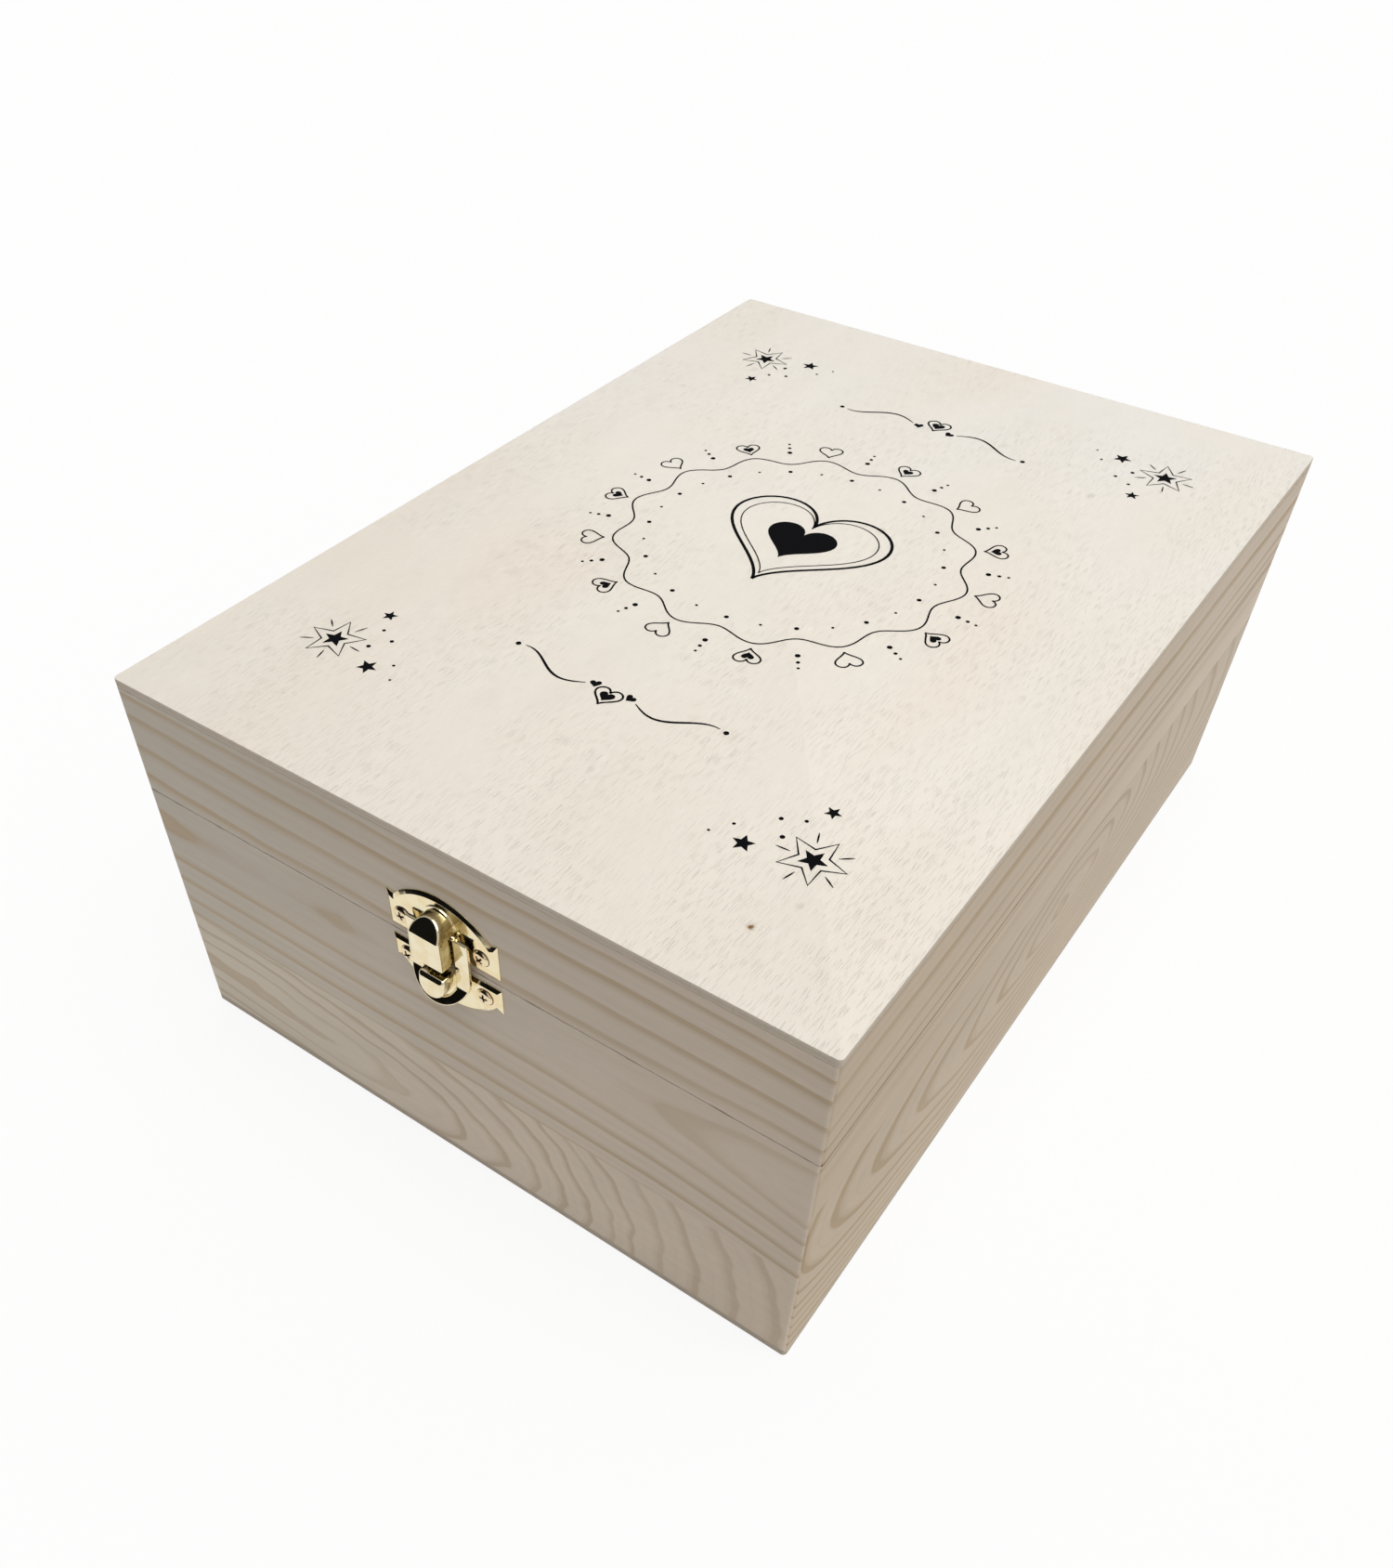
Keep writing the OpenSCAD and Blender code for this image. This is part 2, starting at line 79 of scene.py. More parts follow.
class Tree:
    """Short hand for writing nodes: add() makes one, sets its inputs by name
    or number, and links what is itself a socket."""

    def __init__(self, tree):
        self.tree = tree

    def add(self, kind, inputs=None, **settings):
        node = self.tree.nodes.new("ShaderNode" + kind)
        for key, value in settings.items():
            setattr(node, key, value)
        for key, value in (inputs or {}).items():
            self.set(node.inputs[key], value)
        return node

    def set(self, socket, value):
        if isinstance(value, bpy.types.NodeSocket):
            self.tree.links.new(value, socket)
        elif isinstance(value, tuple) and len(value) == 3 and socket.type == "RGBA":
            socket.default_value = (*value, 1)
        else:
            socket.default_value = value

    def math(self, operation, *values, clamp=False):
        node = self.add("Math", dict(enumerate(values)), operation=operation, use_clamp=clamp)
        return node.outputs[0]

    def chain(self, operation, values):
        total = values[0]
        for value in values[1:]:
            total = self.math(operation, total, value)
        return total

    def plus(self, *values):
        return self.chain("ADD", values)

    def times(self, *values):
        return self.chain("MULTIPLY", values)

    def less(self, value, by):
        return self.math("SUBTRACT", value, by)

    def hypot(self, x, y):
        return self.math("SQRT", self.plus(self.times(x, x), self.times(y, y)))

    def vector(self, x=0.0, y=0.0, z=0.0):
        return self.add("CombineXYZ", {0: x, 1: y, 2: z}).outputs[0]

    def vectors(self, operation, *values):
        """Vector arithmetic that gives a vector, or else one number."""
        node = self.add("VectorMath", dict(enumerate(values)), operation=operation)
        number = operation in ("LENGTH", "DISTANCE", "DOT_PRODUCT")
        return node.outputs["Value" if number else "Vector"]

    def millimetres(self):
        place = self.add("TexCoord").outputs["Object"]
        return self.vectors("MULTIPLY", place, (1000, 1000, 1000))

    def noise(self, place, by, detail=2.0, roughness=0.5):
        """Noise with about this many features per mm along each axis."""
        fine = self.vectors("MULTIPLY", place, by)
        inputs = {"Vector": fine, "Scale": 1.0, "Detail": detail, "Roughness": roughness}
        return self.add("TexNoise", inputs).outputs["Fac"]

    def ramp(self, value, stops, smooth="EASE"):
        node = self.add("ValToRGB", {"Fac": value})
        node.color_ramp.interpolation = smooth
        while len(node.color_ramp.elements) < len(stops):
            node.color_ramp.elements.new(0.5)
        for element, (place, level) in zip(node.color_ramp.elements, sorted(stops)):
            element.position = place
            element.color = (level, level, level, 1)
        return node.outputs["Color"]

    def span(self, value, low, high, to_low=0.0, to_high=1.0, smooth=True):
        """The value's way from low to high, turned into to_low to to_high."""
        inputs = {"Value": value, "From Min": low, "From Max": high, "To Min": to_low, "To Max": to_high}
        kind = "SMOOTHSTEP" if smooth else "LINEAR"
        return self.add("MapRange", inputs, interpolation_type=kind).outputs[0]

    def mix(self, share, first, second):
        return self.add("Mix", {0: share, 6: first, 7: second}, data_type="RGBA").outputs[2]

    def shade(self, colour, by):
        return self.vectors("MULTIPLY", colour, self.vector(by, by, by))

    def glow(self, kind, colour, strength=1.0):
        return self.add(kind, {"Color": colour, "Strength": strength}).outputs[0]

    def blend(self, share, first, second):
        return self.add("MixShader", {0: share, 1: first, 2: second}).outputs[0]


def finish_of(name, plain):
    """A new material, its tree and its Principled shader, which gets the
    plain values."""
    material = bpy.data.materials.new(name)
    material.use_nodes = True
    shader = material.node_tree.nodes["Principled BSDF"]
    for key, value in plain.items():
        shader.inputs[key].default_value = value
    return material, Tree(material.node_tree), shader


def build_floor():
    floor_size, below = 6, 0.0002
    mesh = bpy.data.meshes.new("floor")
    shape = bmesh.new()
    bmesh.ops.create_circle(shape, cap_ends=True, segments=64, radius=floor_size)
    shape.to_mesh(mesh)
    shape.free()
    floor = bpy.data.objects.new("floor", mesh)
    floor.location.z = -below
    bpy.context.collection.objects.link(floor)
    material, tree, shader = finish_of("white_sheet", {"Roughness": 0.9, "Specular IOR Level": 0.1})
    path = tree.add("LightPath").outputs
    place = tree.add("NewGeometry").outputs["Position"]
    reach = tree.vectors("LENGTH", place)
    # what lights the box, out from its middle in metres: the sheet, greyed at
    # the right of the front by a painted shadow, and then the floor
    painted_shadow_spot, left_of_front = (0.42, -0.28, 0), (-0.46, -0.888, 0)
    shaded = tree.vectors("DISTANCE", place, painted_shadow_spot)
    sheet = tree.mix(tree.span(shaded, 0.10, 0.45), (0.50, 0.50, 0.50), (0.92, 0.915, 0.90))
    sheet = tree.mix(tree.span(reach, 0.60, 0.95), sheet, (0.30, 0.30, 0.30))
    sheet = tree.mix(path["Is Camera Ray"], sheet, (0.90, 0.90, 0.90))
    tree.set(shader.inputs["Base Color"], sheet)
    # what the latch mirrors, as a painted reflection: for mirror rays the floor glows with the sheet,
    # a duller floor and a painted black card to the left of the front, wider far off than near the box
    way = tree.vectors("NORMALIZE", place)
    aside = tree.vectors("DOT_PRODUCT", way, left_of_front)
    near = tree.times(tree.span(aside, 0.84, 0.93), tree.span(reach, 0.37, 0.51))
    far = tree.times(tree.span(aside, 0.78, 0.86), tree.span(reach, 0.9, 1.3))
    painted_dark_card = tree.times(tree.math("MAXIMUM", near, far), 0.985)
    reflection_glow = tree.times(tree.span(reach, 0.50, 0.80, 0.95, 0.32), tree.less(1.0, painted_dark_card))
    painted_reflection = tree.glow("Emission", (1, 0.985, 0.95), reflection_glow)
    lit = tree.blend(path["Is Glossy Ray"], shader.outputs[0], painted_reflection)
    # what the camera sees: nearly white, with the box's soft shadow
    seen = tree.blend(0.86, shader.outputs[0], tree.glow("Emission", (1, 1, 1)))
    both = tree.blend(path["Is Camera Ray"], lit, seen)
    tree.set(tree.tree.nodes["Material Output"].inputs["Surface"], both)
    mesh.materials.append(material)


def build_room():
    world = bpy.data.worlds.new("studio")
    world.use_nodes = True
    bpy.context.scene.world = world
    tree = Tree(world.node_tree)
    towards = tree.add("TexCoord").outputs["Generated"]
    dark_corner = Vector((-0.5, -0.8, 0.25)).normalized()
    facing = tree.vectors("DOT_PRODUCT", towards, dark_corner)
    walls = tree.glow("Background", (1.0, 0.99, 0.97), tree.span(facing, 0.60, 0.78, 0.62, 0.008))
    white = tree.glow("Background", (1, 1, 1))
    both = tree.blend(tree.add("LightPath").outputs["Is Camera Ray"], walls, white)
    tree.set(tree.tree.nodes["World Output"].inputs["Surface"], both)


def build_lamp():
    sun = bpy.data.lights.new("soft_lamp", "SUN")
    sun.energy = 1.64
    sun.angle = math.radians(50)
    lamp = bpy.data.objects.new("soft_lamp", sun)
    lamp.rotation_euler = Vector((0.22, -0.06, 0.97)).to_track_quat("Z", "Y").to_euler()
    bpy.context.collection.objects.link(lamp)


build_floor()
build_room()
build_lamp()


# ------------------------------------------------------------ bottom panel
# Thin plywood glued under the walls; only its sawn edge shows, darkened by painted shade.
# The lid panel below is of the same sheet and shares its material.

def box_mm(node):
    """The low and the high corner of a node's box, in millimetres."""
    return [[round(1000 * value, 3) for value in corner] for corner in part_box(node)]


def feed(tree, shader, colour, roughness, height, strength, distance=0.0002):
    """Gives a shader its colour and roughness, and the height as a bump."""
    bump = tree.add("Bump", {"Strength": strength, "Distance": distance, "Height": height})
    tree.set(shader.inputs["Base Color"], colour)
    tree.set(shader.inputs["Roughness"], roughness)
    tree.set(shader.inputs["Normal"], bump.outputs[0])


def build_plywood():
    material, tree, shader = finish_of("plywood", {"Specular IOR Level": 0.25})
    mm = tree.millimetres()
    x, y, z = tree.add("SeparateXYZ", {0: mm}).outputs
    # face veneer: clouds and broad bands, a little cooler towards the back
    cloud = tree.noise(mm, (0.018, 0.010, 0.02))
    warm = tree.noise(tree.vectors("ADD", mm, (400, 90, 0)), (0.014, 0.008, 0.02), detail=1.0)
    colour = tree.mix(tree.span(y, -150, 180), (0.828, 0.770, 0.682), (0.815, 0.780, 0.722))
    colour = tree.mix(tree.span(cloud, 0.35, 0.70, 0.0, 0.45), colour, (0.795, 0.728, 0.63))
    colour = tree.mix(tree.span(warm, 0.55, 0.72, 0.0, 0.40), colour, (0.82, 0.735, 0.645))
    bands = tree.noise(mm, (0.10, 0.006, 0.1))
    colour = tree.shade(colour, tree.span(bands, 0.3, 0.7, 0.988, 1.012, smooth=False))
    # short pores torn open along the grain, in patches, and raised fibres
    patch = tree.noise(mm, (0.03, 0.02, 0.02), detail=1.0)
    pores = tree.noise(mm, (3.5, 0.17, 1.0), detail=1.0, roughness=0.4)
    torn = tree.times(tree.span(pores, 0.60, 0.70), tree.span(patch, 0.34, 0.60, 0.35, 1.0))
    colour = tree.mix(tree.times(torn, 0.17), colour, (0.60, 0.50, 0.39))
    colour = tree.mix(tree.span(pores, 0.26, 0.40, 0.40, 0.0), colour, (0.90, 0.86, 0.79))
    # a pin knot in its halo, and faint stains: x, y, radius in mm and depth of colour
    knots = ((83.8, -151.5, 1.3, 0.25), (83.8, -151.5, 0.68, 1.0), (67.4, 98.4, 1.5, 0.16),
             (19.6, 33.2, 1.4, 0.18), (89.7, -138.2, 1.0, 0.15), (-64.0, -60.0, 2.4, 0.07),
             (-28.0, -118.0, 4.0, 0.035))
    ragged = tree.span(tree.noise(mm, (0.9, 0.9, 0.9)), 0.3, 0.7, -0.3, 0.3, smooth=False)
    for knot_x, knot_y, radius, deep in knots:
        aside = tree.math("DIVIDE", tree.less(x, knot_x), radius)
        along = tree.math("DIVIDE", tree.less(y, knot_y), radius * 1.25)
        away = tree.plus(tree.hypot(aside, along), ragged)
        colour = tree.mix(tree.span(away, 0.3, 1.5, deep, 0.0), colour, (0.22, 0.12, 0.04))
    # sawn edges: three plies, the middle one dark end grain
    half_way, lid_under = 70.0, box_mm("lid_panel")[0][2]
    of_lid = tree.math("GREATER_THAN", z, half_way)
    level = tree.add("Mix", {0: of_lid, 2: z, 3: tree.less(z, lid_under)}).outputs[0]
    core = tree.times(tree.span(level, 0.75, 0.95), tree.span(level, 1.95, 2.15, 1.0, 0.0))
    uneven = tree.span(tree.noise(mm, (0.25, 0.25, 6.0), detail=3.0), 0.3, 0.7, 0.2, 0.7)
    plies = tree.mix(tree.times(core, uneven), (0.610, 0.540, 0.450), (0.52, 0.43, 0.33))
    # the bottom's edge darkened by painted shade, a contact shadow under the walls, most of all in front
    normal = tree.add("SeparateXYZ", {0: tree.add("TexCoord").outputs["Normal"]}).outputs
    painted_edge_shade = tree.span(normal[0], 0.4, 0.8, 0.42, 0.22)
    painted_edge_shade = tree.times(tree.span(z, half_way - 10, half_way, 1.0, 0.0), painted_edge_shade)
    plies = tree.mix(painted_edge_shade, plies, (0.30, 0.25, 0.20))
    edge = tree.span(tree.math("ABSOLUTE", normal[2]), 0.35, 0.75, 1.0, 0.0)
    height = tree.less(tree.times(pores, 0.25), torn)
    roughness = tree.span(pores, 0.3, 0.7, 0.66, 0.76, smooth=False)
    feed(tree, shader, tree.mix(edge, colour, plies), roughness, height, 0.62)
    return material


plywood = build_plywood()


def shape_object(name, shape, material, body, smooth=40, closed=True):
    """Turns a bmesh into a piece that rides on a body."""
    mesh = bpy.data.meshes.new(name)
    if closed:
        bmesh.ops.recalc_face_normals(shape, faces=shape.faces)
    shape.to_mesh(mesh)
    shape.free()
    mesh.materials.append(material)
    piece = bpy.data.objects.new(name, mesh)
    bpy.context.collection.objects.link(piece)
    for face in mesh.polygons:
        face.use_smooth = True
    mesh.set_sharp_from_angle(angle=math.radians(smooth))
    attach(piece, body)
    return piece


def sawn_panel(name, node, body, arris, sanded=0.0, corner=0.0015):
    """A sheet with round corners and eased edges, its top sanded down a little."""
    low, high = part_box(node)
    top = high[2] - sanded
    eased = ((arris, 0.0), (arris * 0.3, arris * 0.3), (0.0, arris))
    levels = [(by, low[2] + up) for by, up in eased]
    levels += [(by, top - down) for by, down in reversed(eased)]
    corners = ((0, high[0] - corner, high[1] - corner), (90, low[0] + corner, high[1] - corner),
               (180, low[0] + corner, low[1] + corner), (270, high[0] - corner, low[1] + corner))
    shape = bmesh.new()
    rows = []
    for by, level in levels:
        row = []
        for start, x, y in corners:
            for step in range(7):
                a = math.radians(start + step * 15)
                at = (x + (corner - by) * math.cos(a), y + (corner - by) * math.sin(a), level)
                row.append(shape.verts.new(at))
        rows.append(row)
    for under, over in zip(rows, rows[1:]):
        for i in range(len(under)):
            shape.faces.new((under[i - 1], under[i], over[i], over[i - 1]))
    shape.faces.new(rows[0][::-1])
    shape.faces.new(rows[-1])
    piece = shape_object(name, shape, plywood, body)
    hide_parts(node)


sawn_panel("bottom_plywood", "bottom_panel", "base", arris=0.0003)


# -------------------------------------------------------------- pine walls
# Solid pine boards, planed and left bare. Each wall is glued up from two
# boards and mitred at the corners; the growth rings cut by each face make
# its lines, wedges and loops.

half_w, half_l = box_mm("bottom_panel")[1][:2]
seam_z = (box_mm("base_front_upper")[1][2] + box_mm("lid_front")[0][2]) / 2


def group_of(name, takes, gives):
    """A shader node group with named sockets."""
    group = bpy.data.node_groups.new(name, "ShaderNodeTree")
    for socket, value in takes.items():
        colour = isinstance(value, tuple)
        kind = "NodeSocketColor" if colour else "NodeSocketFloat"
        made = group.interface.new_socket(socket, in_out="INPUT", socket_type=kind)
        made.default_value = (*value, 1) if colour else value
    for socket, kind in gives.items():
        group.interface.new_socket(socket, in_out="OUTPUT", socket_type="NodeSocket" + kind)
    take = group.nodes.new("NodeGroupInput").outputs
    give = group.nodes.new("NodeGroupOutput").inputs
    return group, Tree(group), take, give


def within_board(tree, take):
    """A place in the board, moved by the seed so that no two boards match."""
    return tree.vector(tree.plus(take["Along"], take["Seed"]), take["Depth"],
                       tree.plus(take["Across"], take["Seed"]))


def build_trunk():
    """Distance in mm from a pith that wanders behind the face."""
    takes = {"Along": 0.0, "Across": 0.0, "Depth": 0.0, "Pith height": 60.0, "Pith depth": 20.0,
             "Above": 1.0, "Below": 1.0, "Waviness": 1.0, "Seed": 0.0}
    group, tree, take, give = group_of("trunk", takes, {"Radius": "Float"})
    here = within_board(tree, take)
    slow = tree.noise(here, (0.008, 0.02, 0.02), detail=1.0)
    quick = tree.noise(here, (0.035, 0.06, 0.06))
    wave = tree.times(tree.less(slow, 0.5), take["Waviness"], 16.0)
    ripple = tree.times(tree.less(quick, 0.5), take["Waviness"], 4.5)
    rise = tree.plus(tree.less(take["Across"], take["Pith height"]), wave, ripple)
    above = tree.times(tree.math("MAXIMUM", rise, 0.0), take["Above"])
    below = tree.times(tree.math("MINIMUM", rise, 0.0), take["Below"])
    back = tree.plus(take["Depth"], take["Pith depth"], tree.times(ripple, 1.3))
    tree.set(give["Radius"], tree.hypot(tree.plus(above, below), back))
    return group


def build_grain():
    """The look of planed pine: a year's early and late wood, and fibres."""
    takes = {"Years": 0.0, "Along": 0.0, "Across": 0.0, "Depth": 0.0, "Strength": 1.0, "Seed": 0.0,
             "Half length": half_w, "Saw cut": 0.3, "Early wood": (0.61, 0.52, 0.42),
             "Late wood": (0.5, 0.4, 0.3)}
    gives = {"Color": "Color", "Height": "Float", "Roughness": "Float"}
    group, tree, take, give = group_of("planed_pine", takes, gives)
    here = within_board(tree, take)
    # late wood darkens slowly and stops at once, more in some years than in others
    season = [(0.0, 0.8), (0.03, 0.25), (0.09, 0.0), (0.30, 0.03), (0.38, 0.16), (0.42, 0.02),
              (0.60, 0.0), (0.76, 0.35), (0.88, 0.95), (1.0, 1.0)]
    late = tree.ramp(tree.math("FRACT", take["Years"]), season)
    year = tree.vector(take["Along"], tree.math("FLOOR", take["Years"]), take["Seed"])
    vary = tree.noise(year, (0.006, 3.7, 1.0), detail=1.0)
    late = tree.times(late, tree.span(vary, 0.3, 0.62, 0.45, 1.0))
    late = tree.math("MULTIPLY", late, take["Strength"], clamp=True)
    colour = tree.mix(late, take["Early wood"], take["Late wood"])
    fibre = tree.noise(here, (0.12, 2.4, 2.4), detail=3.0, roughness=0.62)
    streak = tree.noise(here, (0.02, 0.45, 0.45))
    cloud = tree.noise(here, (0.012, 0.03, 0.03), detail=1.0)
    shade = tree.plus(tree.span(fibre, 0.25, 0.75, -0.028, 0.028, smooth=False),
                      tree.span(streak, 0.3, 0.7, -0.025, 0.025, smooth=False),
                      tree.span(cloud, 0.3, 0.7, 0.97, 1.03, smooth=False))
    # the corners' arrises, rubbed pale
    to_end = tree.less(take["Half length"], tree.math("ABSOLUTE", take["Along"]))
    rubbed = tree.span(to_end, 0.25, 0.9, 0.10, 0.0)
    rubbed = tree.times(rubbed, tree.span(take["Depth"], 0.2, 0.9, 1.0, 0.0))
    colour = tree.shade(colour, tree.plus(shade, rubbed))
    # short flecks of torn fibre, and pale nicks beside the saw cut
    fleck = tree.span(tree.noise(here, (0.22, 2.0, 2.0), detail=1.0), 0.70, 0.80, 0.0, 0.20)
    colour = tree.mix(fleck, colour, (0.42, 0.32, 0.22))
    from_seam = tree.math("ABSOLUTE", tree.less(take["Across"], seam_z))
    nick = tree.span(tree.noise(here, (0.45, 1.6, 1.6)), 0.62, 0.68)
    nick = tree.times(nick, tree.span(from_seam, 0.4, 2.2, 1.0, 0.0))
    colour = tree.mix(tree.times(nick, 0.5), colour, (0.80, 0.72, 0.62))
    # the saw cut's edges, dark where the fibres are torn
    most = tree.math("MULTIPLY_ADD", take["Saw cut"], 0.6, 0.5)
    torn = tree.span(tree.noise(here, (0.10, 0.8, 0.8)), 0.50, 0.64, take["Saw cut"], most)
    cut = tree.times(tree.span(from_seam, 0.22, 0.60, 1.0, 0.0), torn,
                     tree.span(take["Depth"], 0.3, 0.9, 1.0, 0.0))
    colour = tree.mix(cut, colour, (0.21, 0.125, 0.085))
    height = tree.plus(tree.times(fibre, 0.8), tree.times(late, 0.15))
    height = tree.less(height, tree.times(tree.plus(fleck, nick), 1.2))
    tree.set(give["Color"], colour)
    tree.set(give["Height"], height)
    tree.set(give["Roughness"], tree.span(fibre, 0.3, 0.7, 0.68, 0.58, smooth=False))
    return group


trunk = build_trunk()
planed_pine = build_grain()


def pine(face, rings, depth, height, wavy=1.0, seed=0.0, above=1.0, below=1.0, strong=1.0,
         pale=((0.615, 0.525, 0.425),), dark=((0.50, 0.415, 0.315),), lines=None, cut=0.3):
    """Pine of one board. face is the board's name, which starts with the face
    that it lies behind, and rings are the radii in mm at which a year ends.
    depth and height say where the pith runs: (place along the board, mm)
    pairs. above and below squeeze the rings over and under it, wavy makes
    them wander, and strong darkens their late wood, at each height by lines.
    pale and dark hold one colour, or one for each end; cut darkens the seam."""
    material, tree, shader = finish_of("pine_" + face, {"Specular IOR Level": 0.3})
    mm = tree.millimetres()
    x, y, z = tree.add("SeparateXYZ", {0: mm}).outputs
    side = face.split("_")[0]
    along, half_length = (x, half_w) if side in ("front", "back") else (y, half_l)
    behind = {"front": ("ADD", y, half_l), "back": ("SUBTRACT", half_l, y),
              "left": ("ADD", x, half_w), "right": ("SUBTRACT", half_w, x)}[side]
    behind = tree.math(*behind)
    # ramps run from 0 to 1, so places and sizes are shares of these, in mm
    furthest, thickest, deepest, highest = 180.0, 160.0, 200.0, 150.0
    place = tree.span(along, -furthest, furthest, smooth=False)

    def run(pairs):
        stops = [((at + furthest) / (2 * furthest), level / deepest) for at, level in pairs]
        return tree.times(tree.ramp(place, stops, smooth="LINEAR"), deepest)

    def used(group, inputs):
        node = tree.add("Group", node_tree=group)
        for key, value in inputs.items():
            tree.set(node.inputs[key], value)
        return node.outputs

    here = {"Along": along, "Across": z, "Depth": behind, "Seed": seed}
    pith = {"Pith height": run(height), "Pith depth": run(depth)}
    shape = {"Above": above, "Below": below, "Waviness": wavy}
    radius = used(trunk, {**here, **pith, **shape})[0]
    rings = [0.0] + list(rings)
    stops = [(ring / thickest, i / len(rings)) for i, ring in enumerate(rings)]
    years = tree.ramp(tree.math("DIVIDE", radius, thickest), stops, smooth="LINEAR")
    years = tree.times(years, float(len(rings)))
    strength = strong
    if lines:
        stops = [(at / highest, level) for at, level in lines]
        strength = tree.times(tree.ramp(tree.math("DIVIDE", z, highest), stops), strong)
    early = pale[0] if len(pale) == 1 else tree.mix(place, *pale)
    late = dark[0] if len(dark) == 1 else tree.mix(place, *dark)
    look = {"Years": years, "Strength": strength, "Half length": half_length, "Saw cut": cut,
            "Early wood": early, "Late wood": late}
    grain = used(planed_pine, {**here, **look})
    feed(tree, shader, grain["Color"], grain["Roughness"], grain["Height"], 0.35)
    return material


def yearly(start, width, count, seed):
    """Ring radii of uneven years."""
    return [start + width * (i + 0.28 * math.sin(seed + 2.4 * i)) for i in range(count)]


def wear(node, material):
    """Gives a CAD node its finish."""
    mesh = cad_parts[node].data
    mesh.materials.clear()
    mesh.materials.append(material)


boards = {}
# Where a board has a colour for each end, the change along it is partly the wood's own tone and partly
# painted shade: the front's upper board greyer and darker at its left, the right wall's boards warmer
# towards the front.
boards["front_upper"] = pine(
    "front_upper", [17.0, 22.4, 29.3, 37.4, 47, 54.3, 61, 68, 76],
    depth=[(-122, 21.9), (-104, 22.4), (-70, 23), (-42, 22.3), (-10, 23.5), (40, 23.3),
           (72.7, 22.4), (90, 21.2), (100, 20.0), (122, 17.2)],
    height=[(-122, 88), (-60, 87), (72.7, 87), (100, 85.4), (122, 83.2)],
    wavy=0.18, seed=3.1, below=1.17, strong=0.9, cut=0.06,
    pale=((0.558, 0.512, 0.442), (0.675, 0.566, 0.458)), dark=((0.505, 0.382, 0.250),))
boards["front_lower"] = pine(
    "front_lower", [7, 13, 19.5, 25.5, 33, 41, 48, 54, 61, 71, 82, 94, 107, 122],
    depth=[(-122, 5), (-60, 7), (-10, 16), (20, 27), (60, 55), (121, 108)],
    height=[(-122, 22), (-10, 15), (60, 12), (121, 6)], seed=17.0, strong=0.85,
    pale=((0.648, 0.588, 0.495), (0.685, 0.572, 0.460)), dark=((0.515, 0.405, 0.290),))
boards["right_upper"] = pine(
    "right_upper", [14, 34, 39.5, 42.5, 48, 55.5, 69, 82, 96],
    depth=[(-175, 5), (0, 8), (175, 6)], height=[(-175, 59), (0, 61), (175, 60)],
    wavy=0.35, seed=8.2, strong=1.6, cut=0.6,
    lines=[(60, 0.15), (93, 0.2), (98, 1.0), (114, 0.9), (140, 0.9)],
    pale=((0.565, 0.458, 0.338), (0.617, 0.525, 0.430)), dark=((0.465, 0.350, 0.225),))
boards["right_lower"] = pine(
    "right_lower", [5, 10.5, 16, 22, 28, 35, 42, 50, 58, 64, 71, 77, 83, 90, 96, 103, 110, 118, 127],
    depth=[(-175, 57), (-160, 50), (-135, 42), (-106, 35), (-73, 28), (-50, 22), (-27, 16), (0, 9),
           (33, 16), (43, 22), (55, 28), (68, 35), (80, 42), (110, 60), (175, 80)],
    height=[(-175, 57), (-106, 50), (-73, 45), (-26, 47), (33, 50), (55, 59), (80, 55), (175, 51)],
    wavy=0.3, seed=29.0, above=0.95, below=1.5, strong=1.3,
    pale=((0.573, 0.470, 0.352), (0.547, 0.463, 0.370)),
    dark=((0.440, 0.325, 0.200), (0.450, 0.365, 0.270)))
boards["left_upper"] = pine(
    "left_upper", yearly(6, 5.2, 16, 0.9), depth=[(-175, 14), (0, 7), (175, 15)],
    height=[(-175, 104), (175, 92)], wavy=0.6, seed=41.0)
boards["left_lower"] = pine(
    "left_lower", yearly(7, 6.8, 12, 3.1), depth=[(-175, 9), (60, 17), (175, 40)],
    height=[(-175, 40), (175, 30)], seed=53.0)
boards["back_upper"] = pine(
    "back_upper", yearly(8, 7.2, 12, 4.4), depth=[(-122, 30), (0, 18), (122, 12)],
    height=[(-122, 96), (122, 104)], wavy=0.6, seed=61.0)
boards["back_lower"] = pine(
    "back_lower", yearly(5, 6.0, 12, 5.2), depth=[(-122, 5), (122, 26)],
    height=[(-122, 12), (122, 20)], seed=73.0)
for board, material in boards.items():
    wear("base_" + board, material)


# --------------------------------------------------------------- lid frame
# Sawn off the glued-up box, so its grain runs on from the base's upper
# boards across the saw cut.

for side in ("front", "back", "left", "right"):
    wear("lid_" + side, boards[side + "_upper"])


# --------------------------------------------------------------- lid panel
# Thin pale plywood glued flush on the frame, its face veneer left bare:
# short torn pores along the box, a pin knot and a few faint stains.

sawn_panel("lid_plywood", "lid_panel", "lid", arris=0.00025, sanded=0.00005)


# ------------------------------------------------------------------ print
# A plain design printed in black ink on the lid: a garland of hearts and
# dots round a large heart, with stars in the corners.

def turned(points, turn, centre):
    """Points turned round the origin and moved to a centre."""
    c, s = math.cos(turn), math.sin(turn)
    return [(centre[0] + x * c - y * s, centre[1] + x * s + y * c) for x, y in points]


def heart(x, y, size, turn=0.0, steps=40):
    points = []
    for i in range(steps):
        t = 2 * math.pi * (i + 0.5) / steps
        u = 16 * math.sin(t) ** 3
        v = 13 * math.cos(t) - 5 * math.cos(2 * t) - 2 * math.cos(3 * t) - math.cos(4 * t) + 2.5
        points.append((u * size / 32, v * size / 32))
    return turned(points, turn, (x, y))[::-1]


def star(x, y, size, turn=0.0):
    points = []
    for i in range(10):
        r = size * (1 if i % 2 == 0 else 0.44)
        a = turn + math.pi / 2 + math.pi * i / 5
        points.append((x + r * math.cos(a), y + r * math.sin(a)))
    return points


